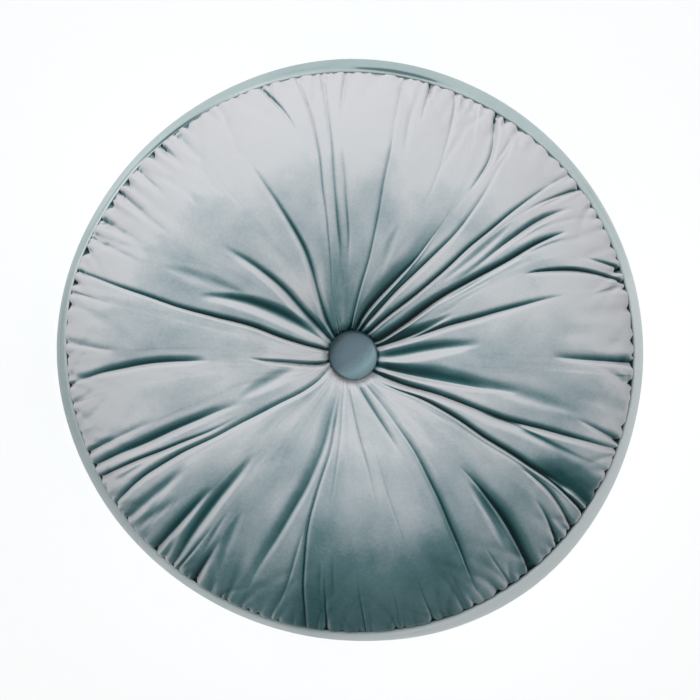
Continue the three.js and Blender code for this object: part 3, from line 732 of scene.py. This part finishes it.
def front_surface(place, share, sizes):
    """Points in mm of the gathered front panel, as arrays of rows by columns"""
    heading = headings_at(place, share)
    seam = reach("seam", heading)
    distance = seam * share[:, None]
    x = GATHER[0] + distance * np.cos(heading)
    y = GATHER[1] + distance * np.sin(heading)
    from_button = np.hypot(x - BUTTON_MIDDLE[0], y - BUTTON_MIDDLE[1])
    crown_share = from_button / (from_button + seam - distance)

    folded, pressed = fold_relief(heading, share, distance)
    folded += hollow_relief(heading, share, distance)
    gathered, notches = rim_gathers(heading, share, distance, seam)
    drop = folded + gathered
    radius = sizes.button_radius / MM
    out_of_pit = smooth(radius - 2, radius + PIT_MARGIN, from_button)
    lift = (lumps(heading, share, distance) - drop) * out_of_pit
    lift *= smooth(*RIM_END, share)[:, None]

    step = 0.01
    rise = crown_height(crown_share + step, sizes) - crown_height(crown_share - step, sizes)
    tilt = np.arctan(rise / (2 * step * seam))
    distance = distance - np.sin(tilt) * lift
    distance = distance - notches
    height = crown_height(crown_share, sizes) + np.cos(tilt) * lift
    height -= TUFT_DEPTH * (1 - smooth(radius - 3, radius + TUFT_WIDTH, from_button))
    # Painted shade: the fold tone darkens the velvet with the depth of folds and gathers and along the
    # crease cores; tone spots paint it paler or darker, and painted shade rings the button's join
    deep = (folded + GATHER_DARK * gathered) / FOLD_TONE_DEPTH
    dark = DEPTH_DARK * deep + CORE_SHADE * pressed
    fold = np.clip(dark, 0, 1) * out_of_pit
    fold -= spots(brushed, heading, share, distance) / FOLD_SHADE
    fold += np.maximum(0, JOIN_SHADE - fold) * smooth(radius + JOIN_WIDTH, radius, from_button)
    return polar(heading, distance, height), fold


def polar(heading, distance, height):
    x = GATHER[0] + distance * np.cos(heading)
    y = GATHER[1] + distance * np.sin(heading)
    return np.stack([x, y, np.broadcast_to(height, x.shape)], axis=-1)


def band_radius(heading, down, fullness):
    """Distance of the band's outer face at a share of the way down between its two seams"""
    bulge = np.sin(math.pi * np.clip(down, 0, 1)) ** fullness
    seam = reach("seam", heading)
    return seam + (reach("band", heading) - seam) * bulge


def band_creases(heading, radius):
    """Depth in mm of the band's creases, all on the upper half that bulges out from the front seam"""
    relief = np.zeros(np.broadcast(heading, radius).shape)
    seam = reach("seam", heading)
    outline_at = reach("band", heading)
    for start, end, share, deep, width in zip(*(creases[name] for name in CREASE_COLUMNS)):
        half = math.radians(end - start) / 2
        along = turned(heading - math.radians(start) - half) / half
        across = np.abs(radius - seam - (outline_at - seam) * share) / width
        relief += deep * np.clip(1 - along**2, 0, 1) * np.exp(-(across**2))
    return relief


def cushion_surface(place, sizes):
    """Rows of points in mm over the whole filled cushion, from the front's middle to the back's"""
    share = HUB_SHARE + (1 - HUB_SHARE) * np.linspace(0, 1, FRONT_ROWS) ** ROW_POWER
    front, fold = front_surface(place, share, sizes)
    coarse_place = column_places(COARSE_COLUMNS)
    coarse_share = np.linspace(HUB_SHARE, 1, COARSE_ROWS)
    swell = blown_out(coarse_place, coarse_share, sizes)
    front = front + on_finer_grid(swell, coarse_place, coarse_share, place, share)
    heading = headings_at(place, np.array([1.0]))
    seam = reach("seam", heading)
    front_seam = sizes.front_seam_height / MM
    back_seam = sizes.back_seam_height / MM

    rows = list(front)
    edge = front[-1] - np.array([*GATHER, 0])
    edge = np.hypot(edge[:, 0], edge[:, 1])
    for out, up in FRONT_EDGE:
        rows.append(polar(heading, edge + out, front[-1][:, 2] + up)[0])
    rows.append(polar(heading, seam + FRONT_LEDGE[0], front[-1][:, 2] + FRONT_LEDGE[1])[0])
    for out, up in FRONT_TUCK:
        rows.append(polar(heading, edge + out, front[-1][:, 2] + up)[0])
    top = front_seam - WALL_TOP
    bottom = back_seam + BACK_TUCK[0][1]
    for down in WALL_SHARES:
        radius = band_radius(heading, down, sizes.band_fullness) - WALL_INSET
        radius = np.minimum(radius, seam + WALL_OUT)
        rows.append(polar(heading, radius, top + (bottom - top) * down)[0])
    for out, up in BACK_TUCK:
        rows.append(polar(heading, seam + out, back_seam + up)[0])
    for share in BACK_SHARES:
        distance = seam + (REST_OUTER - seam) * share
        rows.append(polar(heading, distance, back_seam * (1 - share) ** BACK_POWER)[0])
    for share in DIMPLE_SHARES:
        height = DIMPLE_HEIGHT * math.sin(share * math.pi / 2) ** 2
        rows.append(polar(heading, REST_INNER * (1 - share), height)[0])
    # Painted shade on the tuck rows that show through the notches
    pressed = np.zeros((len(rows) - len(fold), len(place)))
    pressed[: len(TUCK_SHADES)] = np.array(TUCK_SHADES)[:, None]
    return np.array(rows), np.concatenate([fold, pressed])


def blown_out(place, share, sizes):
    """How far in mm the front's cloth swells between its folds, from a cloth simulation on a coarser
    grid of the same rows and columns. The cloth is held where it is gathered and at the bottoms of its
    folds, and blown out from within."""
    points, _ = front_surface(place, share, sizes)
    count = points.shape[0] * len(place)
    grid = np.concatenate([points, points[:, :1]], axis=1)
    numbers = np.arange(count).reshape(points.shape[:2])
    numbers = np.concatenate([numbers, numbers[:, :1]], axis=1)
    bm = bmesh.new()
    number_layer = bm.verts.layers.int.new("number")
    bmesh.ops.create_grid(bm, x_segments=grid.shape[1] - 1, y_segments=grid.shape[0] - 1, size=1)
    corners = zip(bm.verts, grid.reshape(-1, 3).tolist(), numbers.ravel().tolist())
    for vertex, values, number in corners:
        vertex.co = [value * MM for value in values]
        vertex[number_layer] = number
    bmesh.ops.remove_doubles(bm, verts=bm.verts, dist=MERGE_DISTANCE)
    bmesh.ops.recalc_face_normals(bm, faces=bm.faces)
    if sum(face.normal.z for face in bm.faces) < 0:
        bmesh.ops.reverse_faces(bm, faces=bm.faces)
    mesh = bpy.data.meshes.new("blown_out")
    bm.to_mesh(mesh)
    bm.free()
    cloth = bpy.data.objects.new("blown_out", mesh)
    scene = bpy.context.scene
    scene.collection.objects.link(cloth)
    order = np.empty(len(mesh.vertices), int)
    mesh.attributes["number"].data.foreach_get("value", order)

    heading = headings_at(place, share)
    distance = reach("seam", heading) * share[:, None]
    held = fold_relief(heading, share, distance)[0] + hollow_relief(heading, share, distance)
    held = smooth(*FOLDS_HELD, held)
    held = np.maximum(held, smooth(*HUB_HELD, share)[:, None])
    held = np.maximum(held, smooth(*RIM_HELD, share)[:, None]).ravel()
    group = cloth.vertex_groups.new(name="held")
    for index, number in enumerate(order.tolist()):
        group.add([index], float(held[number]), "REPLACE")
    modifier = cloth.modifiers.new("Cloth", "CLOTH")
    settings = modifier.settings
    settings.quality = SIMULATION_STEPS
    settings.mass = CLOTH_MASS
    settings.bending_stiffness = CLOTH_STIFFNESS
    settings.vertex_group_mass = "held"
    settings.use_pressure = True
    settings.uniform_pressure_force = sizes.filling_pressure
    settings.effector_weights.gravity = 0
    modifier.collision_settings.use_collision = False
    for frame_number in range(1, SIMULATION_FRAMES + 1):
        scene.frame_set(frame_number)
    result = cloth.evaluated_get(bpy.context.evaluated_depsgraph_get())
    coordinates = np.empty(3 * len(order))
    result.data.vertices.foreach_get("co", coordinates)
    swell = np.zeros((count, 3))
    swell[order] = coordinates.reshape(-1, 3) / MM
    swell = swell.reshape(points.shape) - points
    bpy.data.objects.remove(cloth)
    bpy.data.meshes.remove(mesh)
    scene.frame_set(1)
    for _ in range(EVENING_PASSES):
        swell = (np.roll(swell, 1, axis=1) + 2 * swell + np.roll(swell, -1, axis=1)) / 4
    length = np.linalg.norm(swell, axis=-1, keepdims=True) + 1e-9
    return swell * np.tanh(length / SWELL_LIMIT) * SWELL_LIMIT / length


def on_finer_grid(values, coarse_place, coarse_share, place, share):
    """Values of a coarse grid of rows and columns read smoothly at a finer grid's"""
    columns = through(coarse_share, values.reshape(len(coarse_share), -1), share)
    columns = columns.reshape(len(share), len(coarse_place), 3).transpose(1, 0, 2)
    turns = np.concatenate([coarse_place + turn for turn in (-FOLD_COUNT, 0, FOLD_COUNT)])
    columns = np.tile(columns.reshape(len(coarse_place), -1), (3, 1))
    return through(turns, columns, place).reshape(len(place), len(share), 3).transpose(1, 0, 2)


def column_places(per_fold):
    """Places of the columns among the folds, closer together at the folds"""
    step = np.linspace(0, 1, per_fold, endpoint=False)
    step = step - COLUMN_CROWDING * np.sin(TURN * step)
    return (np.arange(FOLD_COUNT)[:, None] + step[None, :]).ravel()


def ring_mesh(name, points, place, fold, closed_section):
    """Mesh from a grid whose columns run round the cushion. The last row joins the first on a closed
    section; otherwise the first and last rows are each drawn into one point."""
    grid = np.concatenate([points, fold[..., None], cloth_places(place, points)], axis=-1)
    grid = np.concatenate([grid, grid[:, :1]], axis=1)
    if closed_section:
        grid = np.concatenate([grid, grid[:1]])
    else:
        caps = [np.broadcast_to(grid[row].mean(axis=0), (1, *grid[0].shape)) for row in (0, -1)]
        grid = np.concatenate([caps[0], grid, caps[1]])
    bm = bmesh.new()
    # The fold attribute carries the velvet's painted shade
    shade_layer = bm.verts.layers.float.new("fold")
    cloth_layer = bm.verts.layers.float_vector.new("cloth")
    bmesh.ops.create_grid(bm, x_segments=grid.shape[1] - 1, y_segments=grid.shape[0] - 1, size=1)
    for vertex, values in zip(bm.verts, grid.reshape(-1, 7).tolist()):
        vertex.co = [value * MM for value in values[:3]]
        vertex[shade_layer] = values[3]
        vertex[cloth_layer] = values[4:]
    bmesh.ops.remove_doubles(bm, verts=bm.verts, dist=MERGE_DISTANCE)
    bmesh.ops.recalc_face_normals(bm, faces=bm.faces)
    return add_piece(name, bm)


def add_piece(name, bm):
    """Smooth object with the bmesh's faces, at the origin"""
    mesh = bpy.data.meshes.new(name)
    bm.to_mesh(mesh)
    bm.free()
    mesh.shade_smooth()
    piece = bpy.data.objects.new(name, mesh)
    bpy.context.scene.collection.objects.link(piece)
    return piece


def cloth_places(place, points):
    """Coordinates that follow the cloth: round a circle with the folds, and along them"""
    angle = np.broadcast_to(place / FOLD_COUNT * TURN, points.shape[:2])
    along = np.hypot(points[..., 0], points[..., 1]) / STREAK_LENGTH
    round_x, round_y = STREAKS_ROUND * np.cos(angle), STREAKS_ROUND * np.sin(angle)
    return np.stack([round_x, round_y, along], axis=-1)


def linear(hex_colour):
    """Linear red, green and blue of an sRGB hex colour"""
    values = [int(hex_colour[i : i + 2], 16) / 255 for i in (1, 3, 5)]
    return [v / 12.92 if v <= 0.04045 else ((v + 0.055) / 1.055) ** 2.4 for v in values]


def add_node(tree, kind, settings=None, links=None):
    """One node with its settings, input values by name, and links from other nodes' outputs"""
    node = tree.nodes.new(kind)
    for key, value in (settings or {}).items():
        if isinstance(key, int) or key in node.inputs:
            node.inputs[key].default_value = value
        else:
            setattr(node, key, value)
    for key, output in (links or {}).items():
        tree.links.new(output, node.inputs[key])
    return node


def noise(tree, scale, detail, roughness, distortion, at):
    """Output of a soft random pattern that is read at the coordinates"""
    settings = {"Scale": scale, "Detail": detail, "Roughness": roughness, "Distortion": distortion}
    return add_node(tree, "ShaderNodeTexNoise", settings, {"Vector": at}).outputs["Fac"]


def velvet_tone(tree, place, cloth, nap, light_and_nap_direction):
    """Output that says where each spot of a velvet lies between its deepest and its palest tone:
    painted light and shade by the way the surface faces, painted shade from the fold attribute, and
    random patches, marks, streaks and tufts
    """
    at = place.outputs["Object"]
    lean_to_light = add_node(
        tree,
        "ShaderNodeVectorMath",
        {"operation": "DOT_PRODUCT", 1: light_and_nap_direction},
        {0: place.outputs["Normal"]},
    )
    patches = noise(tree, 1 / (PATCH_SIZE * MM), 3.0, 0.5, 0.6, at)
    marks = noise(tree, 1 / (MARK_SIZE * MM), 4.0, 0.65, 0.8, at)
    tufts = noise(tree, 1 / (TUFT_SIZE * MM), 2.0, 0.6, 0.0, at)
    streaks = noise(tree, 1.0, 2.0, 0.5, 0.0, cloth.outputs["Vector"])
    fold = add_node(tree, "ShaderNodeAttribute", {"attribute_name": "fold"})
    parts = (
        (lean_to_light.outputs["Value"], nap),
        (patches, PATCH_TONE),
        (marks, MARK_TONE),
        (streaks, STREAK_TONE),
        (tufts, TUFT_TONE),
        (fold.outputs["Fac"], -FOLD_SHADE),
    )
    # Painted sheen: a downward part of the direction paints steep slopes paler than level ones, which
    # it leaves at the base tone
    total = TONE_BASE - nap * light_and_nap_direction[2]
    for output, weight in parts:
        settings = {"operation": "MULTIPLY_ADD", 1: weight}
        links = {0: output}
        if isinstance(total, float):
            settings[2] = total
        else:
            links[2] = total
        total = add_node(tree, "ShaderNodeMath", settings, links).outputs[0]
    return total


def velvet_normal(tree, place, cloth):
    """Output with the surface's normal on fine pile over the soft wrinkles of drawn cloth"""
    wrinkles = noise(tree, WRINKLE_SCALE, 2.0, 0.5, 0.0, cloth.outputs["Vector"])
    settings = {"Strength": 0.6, "Distance": 0.001}
    waves = add_node(tree, "ShaderNodeBump", settings, {"Height": wrinkles})
    pile = noise(tree, 1 / (PILE_SIZE * MM), 2.0, 0.5, 0.0, place.outputs["Object"])
    settings = {"Strength": 0.25, "Distance": 0.0005}
    links = {"Height": pile, "Normal": waves.outputs["Normal"]}
    bump = add_node(tree, "ShaderNodeBump", settings, links)
    return bump.outputs["Normal"]


def velvet(name, tones, sheen, nap, light_and_nap_direction):
    """Short pile velvet of matt polyester, woven and then brushed one way. Its colour is painted: pale,
    almost white, where a slope faces the given direction and deep where it faces away, which stands for
    light and shade as well as for the pile's nap; the fold attribute paints shade into the creases. The
    pile lies unevenly, in soft patches and in streaks along the folds. Its hair tips give a weak sheen
    in its own colour, and there is no gloss."""
    material = bpy.data.materials.new(name)
    material.use_nodes = True
    tree = material.node_tree
    tree.nodes.clear()
    place = add_node(tree, "ShaderNodeTexCoord")
    cloth = add_node(tree, "ShaderNodeAttribute", {"attribute_name": "cloth"})
    tone = velvet_tone(tree, place, cloth, nap, light_and_nap_direction)
    ramp = add_node(tree, "ShaderNodeValToRGB", {}, {"Fac": tone})
    colours = bpy.context.scene.cushion_colours
    stops = ramp.color_ramp.elements
    while len(stops) < len(tones):
        stops.new(0.5)
    for stop, (position, shade) in zip(stops, tones):
        stop.position = position
        stop.color = (*getattr(colours, shade), 1)
    shader = add_node(
        tree,
        "ShaderNodeBsdfPrincipled",
        {
            "Roughness": 0.55,
            "Specular IOR Level": 0.3,
            "Sheen Weight": sheen,
            "Sheen Roughness": 0.4,
        },
        {
            "Base Color": ramp.outputs["Color"],
            "Sheen Tint": ramp.outputs["Color"],
            "Normal": velvet_normal(tree, place, cloth),
        },
    )
    add_node(tree, "ShaderNodeOutputMaterial", {}, {"Surface": shader.outputs["BSDF"]})
    return material


def length(name, description, default):
    """Property for a length in metres"""
    return bpy.props.FloatProperty(
        name=name, description=description, default=default, min=0, unit="LENGTH"
    )


def colour(name, description, default):
    """Property for a colour, its default given as sRGB hex"""
    return bpy.props.FloatVectorProperty(
        name=name,
        description=description,
        default=linear(default),
        min=0,
        max=1,
        subtype="COLOR",
    )


class CushionSizes(bpy.types.PropertyGroup):
    """Sizes of the cushion and how firmly it is filled"""

    crown_height: length("Crown height", "Height of the front's crown over the surface", 0.104)
    pit_height: length("Pit height", "Height of the cloth under the button", 0.0895)
    front_seam_height: length("Front seam height", "Height of the seam of front and band", 0.068)
    back_seam_height: length("Back seam height", "Height of the seam of band and back", 0.015)
    button_radius: length("Button radius", "Radius of the covered button", 0.0168)
    band_fullness: bpy.props.FloatProperty(
        name="Band fullness", description="How full the band bulges: lower is fuller", default=0.7
    )
    filling_pressure: bpy.props.FloatProperty(
        name="Filling pressure",
        description="How hard the filling presses the cloth out in the simulation",
        default=80.0,
    )


class CushionColours(bpy.types.PropertyGroup):
    """Colours of the velvets: lit and shaded copies of one cloth, from the painted shade of creases and
    of slopes facing away to the painted light and sheen on slopes facing the given direction
    """

    # Lit and shaded copies of one velvet: the deep tones are painted shade, the pale ones painted light
    face_deepest: colour("Front, deepest", "Bottoms of the creases", "#052528")
    face_deep: colour("Front, deep", "Sides of the creases", "#164a4d")
    face_shaded: colour("Front, shaded", "Slopes with the nap towards the eye", "#59797d")
    face_middle: colour("Front, middle", "Level parts", "#96a3a8")
    face_pale: colour("Front, pale", "Slopes with the nap off the eye", "#bcbfc2")
    face_palest: colour("Front, palest", "Steepest slopes with the nap off the eye", "#bababd")
    band_deepest: colour("Band, deepest", "Bottoms of the band's creases", "#4a6164")
    band_deep: colour("Band, deep", "Sides of the band's creases", "#87999a")
    band_shaded: colour("Band, shaded", "Band with the nap towards the eye", "#9aa9aa")
    band_middle: colour("Band, middle", "Band between the two", "#afbcbd")
    band_palest: colour("Band, palest", "Band with the nap off the eye", "#d2dadb")
    button_deepest: colour("Button, deepest", "Edge of the button", "#27373e")
    button_deep: colour("Button, deep", "Side with the nap towards the eye", "#526670")
    button_middle: colour("Button, middle", "Top of the button", "#5f747e")
    button_palest: colour("Button, palest", "Side with the nap off the eye", "#88a4ac")
    floor: colour("Floor", "Paper that the cushion lies on", "#fbfbfb")


class CUSHION_OT_filled(bpy.types.Operator):
    """Make the filled cushion: gathered front, inside of the side, and plain back"""

    bl_idname = "cushion.filled"
    bl_label = "Filled cushion"

    def execute(self, context):
        place = column_places(COLUMNS)
        points, fold = cushion_surface(place, context.scene.cushion_sizes)
        piece = ring_mesh("gathered_cushion", points, place, fold, closed_section=False)
        # Painted light and shade, given as a nap that runs towards -y: slopes that face +y are painted
        # almost white and those that face -y deep teal, and steep slopes are painted paler still as a
        # painted sheen
        material = velvet("brushed_velvet_face", FACE_TONES, 0.4, 0.5, FACE_LIGHT_AND_NAP)
        piece.data.materials.append(material)
        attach(piece, "root")
        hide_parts("filled_cushion")
        return {"FINISHED"}


class CUSHION_OT_band(bpy.types.Operator):
    """Make the smooth side band"""

    bl_idname = "cushion.band"
    bl_label = "Side band"

    def execute(self, context):
        sizes = context.scene.cushion_sizes
        place = column_places(BAND_COLUMNS)
        heading = headings_at(place, np.array([1.0]))
        pale = outline_radius("pale", heading).ravel()
        front = sizes.front_seam_height / MM - BAND_SEAM_GAP
        back = sizes.back_seam_height / MM + BAND_SEAM_GAP
        rows = []
        pressed = []
        for inset in (0.0, BAND_THICKNESS):
            section = []
            for down in np.linspace(0, 1, BAND_ROWS):
                radius = band_radius(heading, 0.03 + 0.94 * down, sizes.band_fullness)
                crease = band_creases(heading, radius) * (down < 0.5)
                radius = radius - inset - crease * (inset == 0)
                height = front + (back - front) * down - crease
                section.append(polar(heading, radius, height)[0])
                # Painted shade in the band's creases, less where the band is painted paler by heading
                pressed.append(np.ravel(crease**2) - pale / FOLD_SHADE)
            rows += section if inset == 0 else section[::-1]
        rows, pressed = np.array(rows), np.array(pressed)
        piece = ring_mesh("velvet_band", rows, place, pressed, closed_section=True)
        # The same velvet cut along its length: stretched smooth, so it shows one middle tone, with less
        # sheen.
        # Painted light and shade, by facing (palest towards +x and -y) and by heading, make it change
        # slowly round the side
        material = velvet("brushed_velvet_band", BAND_TONES, 0.12, 0.4, BAND_LIGHT_AND_NAP)
        piece.data.materials.append(material)
        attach(piece, "root")
        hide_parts("side_band")
        return {"FINISHED"}


class CUSHION_OT_button(bpy.types.Operator):
    """Make the covered button"""

    bl_idname = "cushion.button"
    bl_label = "Covered button"

    def execute(self, context):
        sizes = context.scene.cushion_sizes
        bm = bmesh.new()
        shade_layer = bm.verts.layers.float.new("fold")
        profile = [(share * sizes.button_radius, 0, z * MM) for share, z in BUTTON_PROFILE]
        loop = [bm.verts.new(point) for point in profile]
        edges = [bm.edges.new(pair) for pair in zip(loop, loop[1:])]
        bmesh.ops.spin(
            bm,
            geom=loop + edges,
            cent=(0, 0, 0),
            axis=(0, 0, 1),
            angle=TURN,
            steps=BUTTON_STEPS,
            use_merge=True,
        )
        bmesh.ops.remove_doubles(bm, verts=bm.verts, dist=1e-6)
        bmesh.ops.recalc_face_normals(bm, faces=bm.faces)
        # Painted shade round the button's edge
        for vertex in bm.verts:
            share = vertex.co.xy.length / sizes.button_radius
            vertex[shade_layer] = BUTTON_EDGE_SHADE * float(smooth(BUTTON_EDGE_SHARE, 1.0, share))
        middle = (*(value * MM for value in BUTTON_MIDDLE), sizes.pit_height - TUFT_DEPTH * MM)
        bmesh.ops.translate(bm, verts=bm.verts, vec=middle)
        piece = add_piece("velvet_button", bm)
        # The same velvet drawn tight over a metal shell: the pile stands on end there, so it shows its
        # deeper grey blue nearly all over. Painted light makes the side that faces +x and -y paler, and
        # painted shade darkens the edge where it turns in
        material = velvet("brushed_velvet_button", BUTTON_TONES, 0.3, 0.62, BUTTON_LIGHT_AND_NAP)
        piece.data.materials.append(material)
        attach(piece, "root")
        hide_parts("front_button")
        return {"FINISHED"}


class CUSHION_OT_stage(bpy.types.Operator):
    """Make the floor, the lights and the camera"""

    bl_idname = "cushion.stage"
    bl_label = "Stage"

    def execute(self, context):
        scene = context.scene
        pieces = bpy.data.collections.new("cushion_pieces")
        for item in scene.objects:
            if item.type == "MESH":
                pieces.objects.link(item)
        bm = bmesh.new()
        bmesh.ops.create_grid(bm, x_segments=1, y_segments=1, size=FLOOR_SIZE)
        floor = add_piece("floor", bm)
        floor.data.materials.append(studio_paper())
        ground = bpy.data.collections.new("floor_only")
        ground.objects.link(floor)

        for name, place, size, power, lit in LIGHTS:
            data = bpy.data.lights.new(name, "AREA")
            data.size = size
            data.energy = power
            light = bpy.data.objects.new(name, data)
            light.location = place
            aim = Vector(LIGHTS_AIM) - light.location
            light.rotation_euler = aim.to_track_quat("-Z", "Y").to_euler()
            light.light_linking.receiver_collection = pieces if lit == "pieces" else ground
            if lit == "floor":
                # The pieces throw no shadow of this light, so the floor stays white up to the band
                light.light_linking.blocker_collection = ground
            scene.collection.objects.link(light)
        world = bpy.data.worlds.new("studio")
        world.use_nodes = True
        background = world.node_tree.nodes["Background"]
        background.inputs["Color"].default_value = (*linear(STUDIO_COLOUR), 1)
        background.inputs["Strength"].default_value = STUDIO_STRENGTH
        scene.world = world

        data = bpy.data.cameras.new("camera")
        data.lens = LENS
        data.sensor_width = SENSOR_WIDTH
        camera = bpy.data.objects.new("camera", data)
        camera.location = (0, 0, AIM_HEIGHT + WIDTH_SEEN * LENS / SENSOR_WIDTH)
        scene.collection.objects.link(camera)
        scene.camera = camera
        scene.view_settings.view_transform = "Standard"
        return {"FINISHED"}


def studio_paper():
    """Uncoated white background paper, pressed smooth: even, bright and without any gloss"""
    material = bpy.data.materials.new("uncoated_studio_paper")
    material.use_nodes = True
    tree = material.node_tree
    tree.nodes.clear()
    colour_value = (*bpy.context.scene.cushion_colours.floor, 1)
    settings = {"Base Color": colour_value, "Roughness": 0.9}
    shader = add_node(tree, "ShaderNodeBsdfPrincipled", settings)
    add_node(tree, "ShaderNodeOutputMaterial", {}, {"Surface": shader.outputs["BSDF"]})
    return material


class CUSHION_PT_panel(bpy.types.Panel):
    """Sizes and colours of the cushion, and a button for each piece"""

    bl_idname = "CUSHION_PT_panel"
    bl_label = "Cushion"
    bl_space_type = "VIEW_3D"
    bl_region_type = "UI"
    bl_category = "Cushion"

    def draw(self, context):
        for group in (context.scene.cushion_sizes, context.scene.cushion_colours):
            for name in group.__annotations__:
                self.layout.prop(group, name)
        for operator in OPERATORS:
            self.layout.operator(operator.bl_idname)


OPERATORS = (CUSHION_OT_filled, CUSHION_OT_band, CUSHION_OT_button, CUSHION_OT_stage)
CLASSES = (CushionSizes, CushionColours, *OPERATORS, CUSHION_PT_panel)


def register():
    for item in CLASSES:
        bpy.utils.register_class(item)
    bpy.types.Scene.cushion_sizes = bpy.props.PointerProperty(type=CushionSizes)
    bpy.types.Scene.cushion_colours = bpy.props.PointerProperty(type=CushionColours)


def unregister():
    del bpy.types.Scene.cushion_colours
    del bpy.types.Scene.cushion_sizes
    for item in reversed(CLASSES):
        bpy.utils.unregister_class(item)


def main():
    register()
    bpy.ops.cushion.filled()
    bpy.ops.cushion.band()
    bpy.ops.cushion.button()
    bpy.ops.cushion.stage()


if __name__ == "__main__":
    main()
